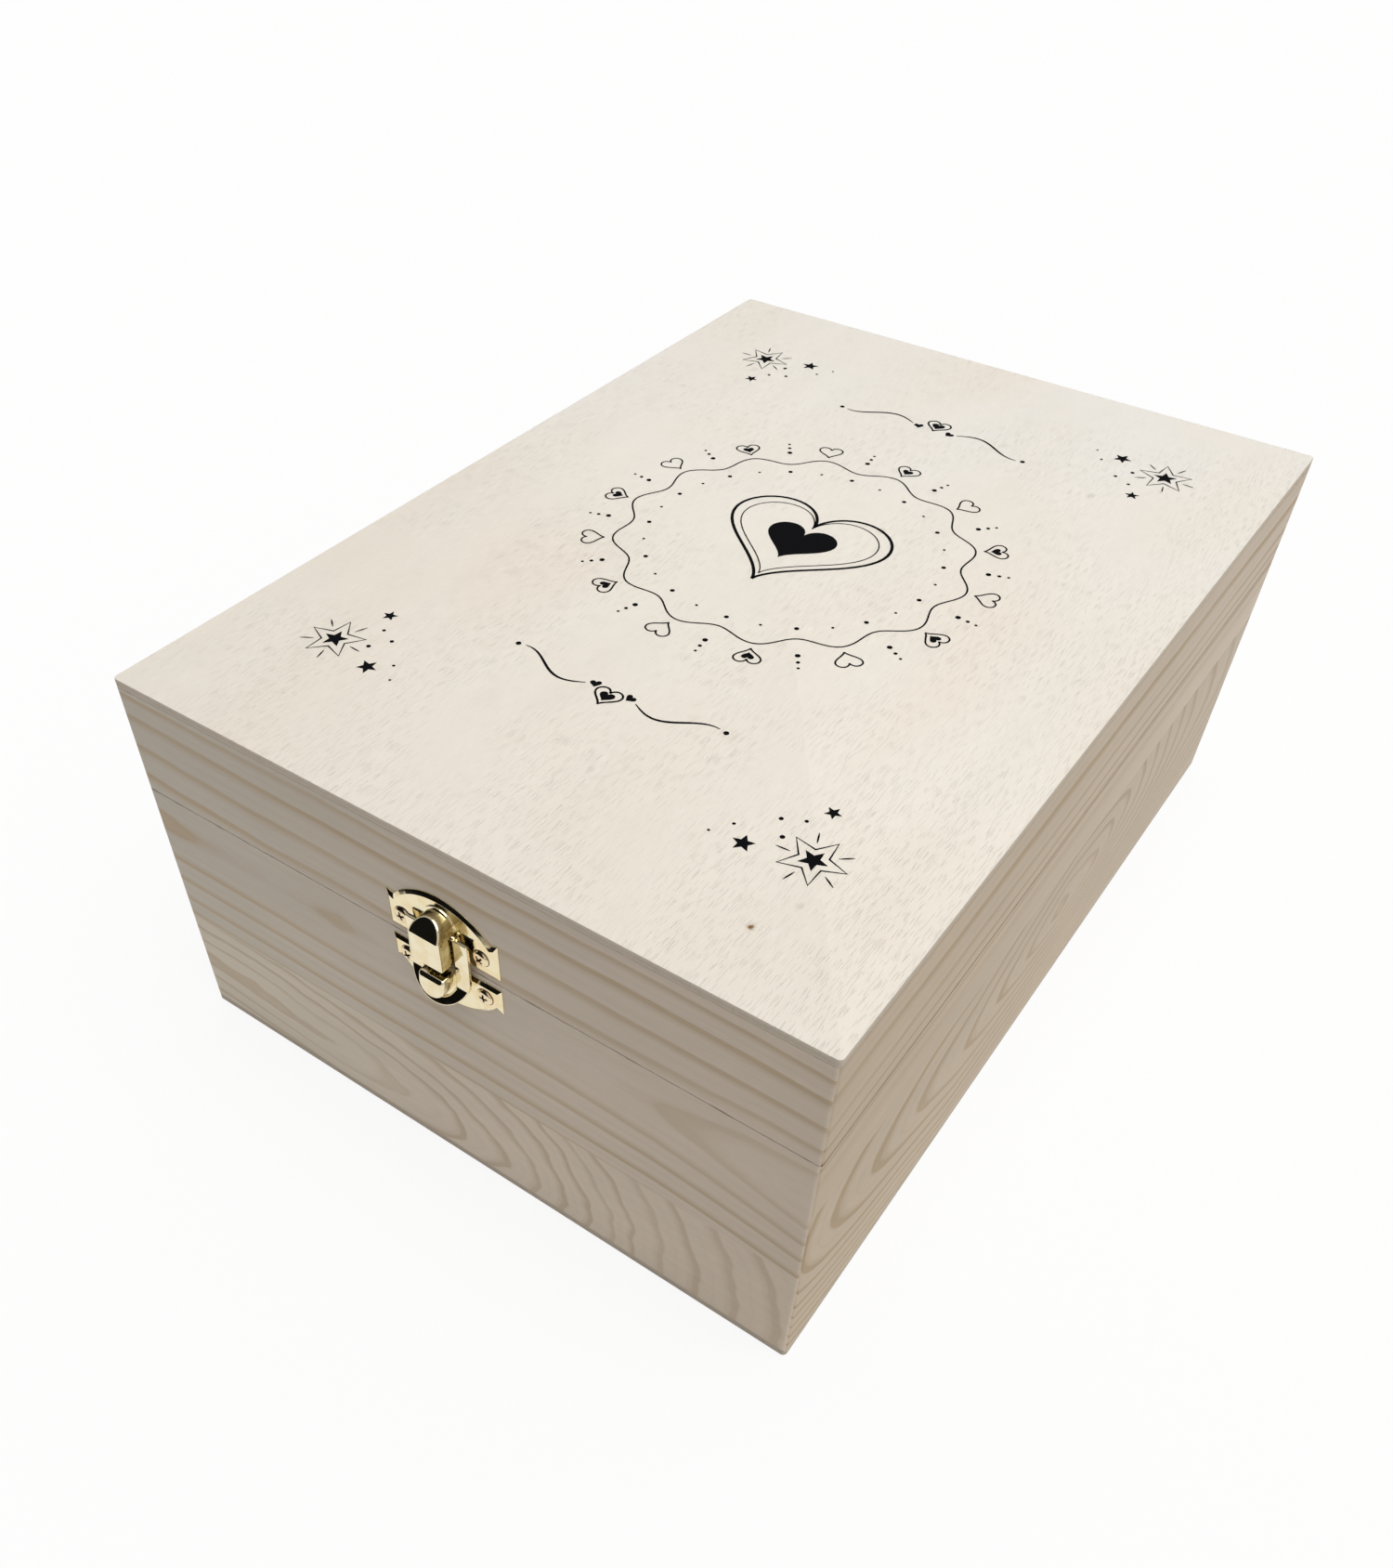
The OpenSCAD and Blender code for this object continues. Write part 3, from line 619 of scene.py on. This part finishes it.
def build_print():
    black = {"Base Color": (0.004, 0.004, 0.005, 1), "Roughness": 0.9, "Specular IOR Level": 0.05}
    material = finish_of("black_ink", black)[0]
    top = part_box("lid_panel")[1][2]
    shape = bmesh.new()

    def inked(x, y):
        return shape.verts.new((x / 1000, y / 1000, top))

    def fill(points):
        area = sum(a[0] * b[1] - b[0] * a[1] for a, b in zip(points, points[1:] + points[:1]))
        points = points if area > 0 else points[::-1]
        shape.faces.new([inked(x, y) for x, y in points])

    def stroke(points, width, closed=False, taper=False):
        """A pen line of one width, or one that runs out at both ends."""
        rows = []
        last = len(points) - 1
        for i, (x, y) in enumerate(points):
            before = points[i - 1] if i or closed else points[0]
            after = points[(i + 1) % len(points)] if i < last or closed else points[-1]
            along = Vector((after[0] - before[0], after[1] - before[1])).normalized()
            half = width / 2
            if taper:
                half *= math.sin(math.pi * (0.06 + 0.88 * i / last)) ** 0.6
            rows.append([inked(x + k * along.y * half, y - k * along.x * half) for k in (1, -1)])
        pairs = list(zip(rows, rows[1:])) + ([(rows[-1], rows[0])] if closed else [])
        for (a, b), (c, d) in pairs:
            shape.faces.new((a, c, d, b))

    def dot(x, y, size):
        turns = [math.pi * i / 8 for i in range(16)]
        fill([(x + size * math.cos(a), y + size * math.sin(a)) for a in turns])

    cx, cy = 0.0, 8.0

    def around(radius, a):
        return cx + radius * math.cos(a), cy + radius * math.sin(a)

    # the large heart, drawn twice, over a solid one
    stroke(heart(cx, cy, 58, steps=90), 1.1, closed=True)
    stroke(heart(cx, cy + 0.4, 50, steps=90), 0.45, closed=True)
    fill(heart(cx, cy + 1.0, 25, steps=60))
    # the garland: a waving line with hearts outside and dots inside
    count, garland, wave, inside, outside = 14, 58, 2.4, 50, 67
    turns = [2 * math.pi * i / 360 for i in range(360)]
    stroke([around(garland + wave * math.sin(count * a), a) for a in turns], 0.6, closed=True)
    for i in range(count):
        a = 2 * math.pi * (i + 0.25) / count
        b = a + math.pi / count
        stroke(heart(*around(outside, a), 8.5, a - math.pi / 2), 0.6, closed=True)
        if i % 2:
            fill(heart(*around(outside, a), 4.0, a - math.pi / 2))
        for out, size in ((64.5, 0.9), (68.0, 0.65), (71.0, 0.5), (inside, 0.8)):
            dot(*around(out, b), size)
        dot(*around(inside, a), 0.5)
    # corner stars with their rays, two small stars and a trail of dots
    corner_x, corner_y, curl_y = 84, 124, 103
    for sx in (-1, 1):
        for sy in (-1, 1):
            x, y = sx * corner_x, cy - 6 + sy * corner_y
            tilt = 0.25 * sx * sy
            stroke(star(x, y, 9.5, tilt), 0.6, closed=True)
            fill(star(x, y, 4.2, tilt))
            for i in range(5):
                a = tilt + math.pi / 2 + math.pi * (2 * i + 1) / 5
                ray = [(x + r * math.cos(a), y + r * math.sin(a)) for r in (6.6, 8.0, 9.4, 10.8)]
                stroke(ray, 0.55, taper=True)
            fill(star(x - sx * 18, y + sy * 5, 3.4, -tilt))
            fill(star(x - sx * 5, y - sy * 19, 2.6, tilt))
            for k, (dx, dy) in enumerate(((11, -3), (15, -9), (9, -12), (24, 0), (28, 6))):
                dot(x - sx * dx, y + sy * dy, 0.75 - 0.08 * k)
    # a curl with three hearts above and below the garland
    steps = [i / 30 for i in range(31)]
    for sy in (-1, 1):
        y = cy + sy * curl_y
        rises = [y + sy * (3.2 * math.sin(math.pi * 1.6 * t) - 1.5 * t) for t in steps]
        for sx in (-1, 1):
            stroke([(sx * (9 + 26 * t), rise) for t, rise in zip(steps, rises)], 0.9, taper=True)
            dot(sx * 37.5, y + sy * -4.0, 0.9)
            fill(heart(sx * 6.2, y - sy * 1.0, 3.6, 0.35 * -sx))
        stroke(heart(0, y + sy * 2.4, 9), 0.7, closed=True)
        fill(heart(0, y + sy * 2.4, 5.0))
    for face in shape.faces:
        face.normal_update()
        if face.normal.z < 0:
            face.normal_flip()
    shape_object("lid_print", shape, material, "lid", closed=False)


build_print()


# ------------------------------------------------------------------ latch
# A pressed latch of brass-plated steel sheet, bright and slightly wavy from
# the press. Its pieces are drawn in the latch's own frame: u across, s up
# from the seam, h out of the box's face, all in millimetres.

def build_brass(name, colour, shade, roughness, wavy):
    """Brass plate of one brightness; shade tints the thinner plating."""
    material, tree, shader = finish_of(name, {"Metallic": 1.0})
    mm = tree.millimetres()
    thin = tree.span(tree.noise(mm, (0.22, 0.22, 0.22), detail=3.0), 0.40, 0.66)
    haze = tree.noise(mm, (0.9, 0.9, 0.9), detail=3.0)
    haze = tree.span(haze, 0.3, 0.75, roughness * 0.7, roughness * 1.6, smooth=False)
    swell = tree.noise(mm, (0.30, 0.30, 0.30), detail=1.0)
    height = tree.plus(swell, tree.times(tree.noise(mm, (2.2, 2.2, 2.2)), 0.06))
    feed(tree, shader, tree.mix(thin, colour, shade), haze, height, wavy, distance=0.0006)
    return material


plate_brass = build_brass("brass_plate", (0.86, 0.77, 0.54), (0.84, 0.69, 0.42), 0.11, 0.22)
bright_brass = build_brass("brass_bright", (0.86, 0.78, 0.58), (0.82, 0.70, 0.46), 0.06, 0.10)
# a rougher, hammered brass, its darker colour painted shade for the hood's sides
hammered_shaded_brass = build_brass("brass_hammered_shaded", (0.60, 0.52, 0.30), (0.40, 0.31, 0.14), 0.20, 0.85)

latch_x = sum(corner[0] for corner in box_mm("latch_lid_plate")) / 2
face_y = -half_l


def on_face(u, s, h):
    return Vector(((latch_x + u) / 1000, (face_y - h) / 1000, (seam_z + s) / 1000))


def off_face(place):
    """The u, s and h of a place."""
    return place.x * 1000 - latch_x, place.z * 1000 - seam_z, face_y - place.y * 1000


def arc(radius, degrees, centre=(0.0, 0.0)):
    """Points on a circle, at these angles."""
    turns = [math.radians(a) for a in degrees]
    return [(centre[0] + radius * math.cos(a), centre[1] + radius * math.sin(a)) for a in turns]


def inset(loop, by):
    """A closed loop of (u, s), drawn anticlockwise, moved inwards."""
    moved = []
    for i, here in enumerate(loop):
        before, after = loop[i - 1], loop[(i + 1) % len(loop)]
        a = Vector((here[0] - before[0], here[1] - before[1])).normalized()
        b = Vector((after[0] - here[0], after[1] - here[1])).normalized()
        normal = Vector((-a.y - b.y, a.x + b.x))
        normal = normal.normalized() if normal.length > 1e-6 else Vector((-a.y, a.x))
        open_by = max(0.35, normal.dot(Vector((-a.y, a.x))))
        moved.append((here[0] + normal.x * by / open_by, here[1] + normal.y * by / open_by))
    return moved


def profiled(loop, profile):
    """The loop as rings of points, one for each (inwards, height) pair."""
    return [[(u, s, h) for u, s in inset(loop, by)] for by, h in profile]


def stack_rings(shape, rings):
    """Joins rings of equal length with quads, and gives their vertices."""
    rows = [[shape.verts.new(on_face(*point)) for point in ring] for ring in rings]
    for low, high in zip(rows, rows[1:]):
        for i in range(len(low)):
            j = (i + 1) % len(low)
            shape.faces.new((low[i], low[j], high[j], high[i]))
    return rows


# Each plate has a straight edge at s = foot, two ears, and an arch towards
# up, with a wide chamfer all round.
def pressed_plate(name, node, body, foot, side, arch, up):
    half, ear, drop, steps = 19.9, 2.4, 1.2, 48
    rim = ((0, 0), (0, 0.26), (0.03, 0.31), (0.10, 0.35), (1.18, 0.95), (1.28, 0.985), (1.40, 1.0))
    base, reach = half - ear, side - drop
    radius = (base ** 2 + (arch - reach) ** 2) / (2 * (arch - reach))
    swing = math.degrees(math.asin(base / radius))
    turns = [90 - swing + swing * 2 * i / steps for i in range(steps + 1)]
    loop = [(-half, 0), (half, 0), (half, side)] + arc(radius, turns, (0, arch - radius)) + [(-half, side)]
    shape = bmesh.new()
    rings = [[(u, foot + up * s, h) for u, s, h in ring] for ring in profiled(loop, rim)]
    shape.faces.new(stack_rings(shape, rings)[-1])
    piece = shape_object(name, shape, plate_brass, body, smooth=24)
    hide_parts(node)


pressed_plate("latch_upper_plate", "latch_lid_plate", "lid", foot=2.65, side=13.2, arch=20.2, up=1)
pressed_plate("latch_lower_plate", "latch_keeper_plate", "base", foot=-2.0, side=9.3, arch=16.6, up=-1)


def tongue(half, low, high, corner, levels):
    """Right half of a tongue as (u, s), from its round low end to its square
    high end with rounded corners."""
    centre = low + half
    middle = [(half, s) for s in levels if centre < s < high - corner]
    square = arc(corner, range(0, 91, 18), (half - corner, high - corner)) if corner else [(half, high)]
    return arc(half, range(-90, 1, 6), (0, centre)) + middle + square


def pressed_form(shape, right, foot_h, front_h, edge, walls=()):
    """A form pressed out of sheet: walls up from foot_h, a rounded edge and
    a front whose height follows s. right is its right half, low end first."""
    loop = right + [(-u, s) for u, s in reversed(right) if u > 1e-6]
    rings = [[(u, s, level) for u, s in loop] for level in (foot_h, *walls)]
    for step in range(6):
        a = math.radians(18 * step)
        ring = inset(loop, edge * (1 - math.cos(a)))
        rings.append([(u, s, front_h(s) - edge + edge * math.sin(a)) for u, s in ring])
    last = stack_rings(shape, rings)[-1]
    closed_low = right[0][0] < 1e-6

    def mirror(i):
        return -i % len(last) if closed_low else len(last) - 1 - i

    for i in range(len(right) - 1):
        corners = []
        for vert in (last[i], last[i + 1], last[mirror(i + 1)], last[mirror(i)]):
            if vert not in corners:
                corners.append(vert)
        if len(corners) > 2:
            shape.faces.new(corners)


rod_s, rod_h = 12.2, 2.2


# The housing over the rod: one bent sheet with an upright front, a top that
# leans back and an open lower end, on a thin foot that lies on the plate.
def build_housing():
    # half width, open end, round end, the fold's height and how round it is
    half, low, high, fold, round_fold = 5.4, 2.9, 18.8, 13.9, 0.25
    # how far the front stands out and its top leans back, sheet, rounded edge
    out, lean, sheet, edge = 8.1, 3.3, 0.9, 0.85
    slot, slot_h, wall_h = (rod_s - 1.1, rod_s + 1.0), 3.3, 1.0

    def front(s):
        slope = lean / (high - fold)
        if s < fold - round_fold:
            return out
        if s > fold + round_fold:
            return out - slope * (s - fold)
        return out - slope * (s - fold + round_fold) ** 2

    levels = [-s for s in (4.5, 6.5, 9.0, slot[0], rod_s, slot[1])]
    right = {(u, -s) for u, s in tongue(half, -high, -low, 0, levels)}
    # more levels round the fold, also where the top is already round
    centre = high - half
    for s in (fold - round_fold, fold - 0.1, fold, fold + 0.1, fold + round_fold):
        right.add((half if s < centre else math.sqrt(half ** 2 - (s - centre) ** 2), s))
    right = sorted(right, key=lambda point: (point[1], -point[0]))
    shape = bmesh.new()
    pressed_form(shape, right, wall_h, front, edge, (slot_h,))
    # open lower end, open back and the slots that the rod turns in
    doomed = []
    for face in shape.faces:
        u, s, h = off_face(face.calc_center_median())
        in_slot = abs(abs(u) - half) < 0.3 and slot[0] < s < slot[1] and h < slot_h
        if s < low + 0.01 or in_slot:
            doomed.append(face)
    bmesh.ops.delete(shape, geom=doomed, context="FACES")
    bmesh.ops.recalc_face_normals(shape, faces=shape.faces)
    shape.normal_update()
    bmesh.ops.solidify(shape, geom=shape.faces[:], thickness=sheet / 1000)
    wide, top = half + 0.3, high + 1.1
    foot = arc(wide, range(0, 181, 6), (0, top - wide))
    rows = stack_rings(shape, profiled(foot, ((0, 1.0), (0, 1.34), (0.05, 1.45), (0.16, 1.5))))
    shape.faces.new(rows[-1])
    # the sides and the inside get a rougher, hammered brass whose darker colour is painted shade, unlike
    # the front and the foot
    shape.normal_update()
    for face in shape.faces:
        h = off_face(face.calc_center_median())[2]
        face.material_index = 1 if face.normal.y > -0.2 and h > 1.6 else 0
    piece = shape_object("latch_hood", shape, bright_brass, "lid", smooth=28)
    piece.data.materials.append(hammered_shaded_brass)
    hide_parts("latch_housing")


build_housing()


# The nose on the lower plate: a rounded stud pressed out of sheet, on which
# the hasp's window catches.
def build_nose():
    # half width, round end, square end, its corners and the rounded edge
    half, low, high, corner, edge = 4.7, -9.9, -2.0, 1.1, 1.35
    # how far it stands out at both ends, and how it drops off at the square one
    out_high, out_low, drop, drop_l = 7.6, 8.7, 0.2, 1.6
    foot_h, swing = 0.4, 22.6

    def front(s):
        bent = drop * max(0.0, (s - high + drop_l) / drop_l) ** 2
        return out_high + (high - s) * (out_low - out_high) / (high - low) - bent

    right = tongue(half, low, high, corner, (-4.6, -4.0, -3.5))
    shape = bmesh.new()
    pressed_form(shape, right, foot_h, front, edge)
    # the underside follows the swing of the hasp round its rod
    for vert in shape.verts:
        s, h = off_face(vert.co)[1:]
        if math.hypot(rod_s - s, h - rod_h) > swing:
            vert.co.z += (rod_s - s - math.sqrt(swing ** 2 - (h - rod_h) ** 2)) / 1000
    piece = shape_object("latch_nose", shape, bright_brass, "base", smooth=40)
    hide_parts("latch_keeper_nose")


build_nose()


# The hasp: one bent sheet with two legs on a rod and a round bill at its
# low end, which a finger pulls.
def build_hasp():
    # half width, the bill's end, sheet and rod; the window's half width and end
    half, low, sheet, rod_r = 11.0, -12.9, 1.2, 0.8
    window, window_low, top = 6.0, -10.5, rod_s + 0.5
    # the front's height out of the box, as straight runs between its bends
    bends = ((rod_s, 3.2), (7.2, 3.2), (-5.2, 3.7), (low, 7.4))

    def front(s):
        if s > rod_s:
            return bends[0][1]
        for (s0, h0), (s1, h1) in zip(bends, bends[1:]):
            if s >= s1 or s1 == low:
                return h0 + (h1 - h0) * (s - s0) / (s1 - s0)

    def eased(s):
        """The front's height with its bends rounded."""
        if s >= rod_s - 0.5:
            return front(s)
        near = [front(s + 0.15 * step) for step in range(-3, 4)]
        return sum(near) / len(near)

    # the window is open at the top, between the legs, where only the rod runs
    loop = arc(half, range(180, 361, 5), (0, low + half)) + [(half, top), (window, top)]
    loop += arc(window, range(360, 179, -5), (0, window_low + window)) + [(-window, top), (-half, top)]
    profile = ((0.12, -sheet), (0.0, -sheet + 0.12), (0.0, -0.42), (0.03, -0.26), (0.12, -0.12),
               (0.26, -0.03), (0.42, 0.0))
    shape = bmesh.new()
    rows = stack_rings(shape, profiled(loop, profile))
    caps = [shape.faces.new(rows[0][::-1]), shape.faces.new(rows[-1])]
    bmesh.ops.triangulate(shape, faces=caps)
    # cuts where the sheet bends, closest at the bends themselves
    cuts = (8.2, 7.5, 7.2, 6.9, 6.2, 3.0, 0.0, -3.0, -4.6, -4.9, -5.05, -5.2, -5.35, -5.5, -5.8,
            -8.0, -10.0, -11.6)
    for s in cuts:
        whole = shape.verts[:] + shape.edges[:] + shape.faces[:]
        bmesh.ops.bisect_plane(shape, geom=whole, plane_co=on_face(0, s, 0), plane_no=(0, 0, 1))
    for vert in shape.verts:
        vert.co.y -= eased(off_face(vert.co)[1]) / 1000
    # the rod between the legs' upper ends
    rows = []
    for u, r in ((-window - 0.3, rod_r - 0.05), (-window - 0.2, rod_r),
                 (window + 0.2, rod_r), (window + 0.3, rod_r - 0.05)):
        points = arc(r, range(0, 360, 12), (rod_s, rod_h))
        rows.append([shape.verts.new(on_face(u, s, h)) for s, h in points])
    for left, right in zip(rows, rows[1:]):
        for i in range(len(left)):
            shape.faces.new((left[i], left[i - 1], right[i - 1], right[i]))
    shape.faces.new(rows[0])
    shape.faces.new(rows[-1][::-1])
    piece = shape_object("latch_flap", shape, bright_brass, "hasp", smooth=32)
    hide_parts("latch_hasp")


build_hasp()


# Round-head screws with a cross slot, one under each ear of both plates,
# the slot and the ring round the head darkened with painted shade and a little grease.
screw_brass = build_brass("brass_screws", (0.86, 0.73, 0.50), (0.81, 0.64, 0.41), 0.14, 0.12)
screw_shade_and_grime = build_brass("brass_shade_and_grime", (0.20, 0.10, 0.06), (0.12, 0.05, 0.03), 0.45, 0.2)


def build_screws(name, node, body, level, turns):
    # from the middle to a screw, its head's radius, and the cross: arm, half width, floor
    apart, head, arm, half, slot_h, narrower = 14.2, 2.75, 1.42, 0.36, 1.30, 0.85
    shoulder, rise, steps, shade_and_grease_rings = 1.70, 0.42, 60, 2

    def crown(r):
        return shoulder + rise * (1 - (r / (0.85 * head)) ** 2)

    # a dark fillet of painted shade and grease round the head, the head's side and its crown: radius and
    # height
    profile = [(head + 0.22, 0.98), (head + 0.18, 1.04), (head, 1.20), (head - 0.10, 1.42)]
    profile += [(head - 0.42, shoulder)] + [(head * share, crown(head * share)) for share in (0.72, 0.62)]
    shape = bmesh.new()
    for side, turn in zip((-1, 1), turns):
        centre = (apart * side, level)
        rows = []
        for r, h in profile:
            ring = arc(r, range(0, 360, 360 // steps), centre)
            rows.append([shape.verts.new(on_face(u, s, h)) for u, s in ring])
        for k, (under, over) in enumerate(zip(rows, rows[1:])):
            for i in range(steps):
                face = shape.faces.new((under[i - 1], under[i], over[i], over[i - 1]))
                face.material_index = 1 if k < shade_and_grease_rings else 0
        # the cross: a plus-shaped hole in the crown, narrower at its floor
        plus = []
        for quarter in range(4):
            corners = ((arm, -half), (arm, half), (half, half))
            plus += turned(corners, turn + quarter * math.pi / 2, (0, 0))
        rim = [on_face(centre[0] + u, level + v, crown(math.hypot(u, v))) for u, v in plus]
        foot = [on_face(centre[0] + narrower * u, level + narrower * v, slot_h) for u, v in plus]
        rim, foot = ([shape.verts.new(place) for place in ring] for ring in (rim, foot))
        # the slot's walls and floor take the dark brass: painted shade in the recess, with some grease
        for i in range(len(plus)):
            shape.faces.new((rim[i - 1], rim[i], foot[i], foot[i - 1])).material_index = 1
        shape.faces.new(foot).material_index = 1
        edges = []
        for ring in (rim, rows[-1]):
            edges += [shape.edges.get((ring[i - 1], ring[i])) for i in range(len(ring))]
        bmesh.ops.triangle_fill(shape, edges=edges, use_beauty=True)
    piece = shape_object(name, shape, screw_brass, body, smooth=50)
    piece.data.materials.append(screw_shade_and_grime)
    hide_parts(node)


build_screws("latch_upper_screws", "latch_lid_screws", "lid", 8.85, (0.3, 0.75))
build_screws("latch_lower_screws", "latch_keeper_screws", "base", -6.9, (0.5, 0.1))


# ----------------------------------------------------------------- hinges
# Two small butt hinges of brass-plated sheet, let into the back edges of
# lid and base, each with a pin and four countersunk screws.

hinge_brass = build_brass("brass_hinge", (0.78, 0.66, 0.42), (0.72, 0.56, 0.32), 0.22, 0.25)
for side in ("left", "right"):
    wear(f"hinge_{side}_base_leaf", hinge_brass)
    wear(f"hinge_{side}_lid_leaf", hinge_brass)
    wear(f"hinge_{side}_pin", screw_brass)
wear("hinge_base_screws", screw_brass)
wear("hinge_lid_screws", screw_brass)
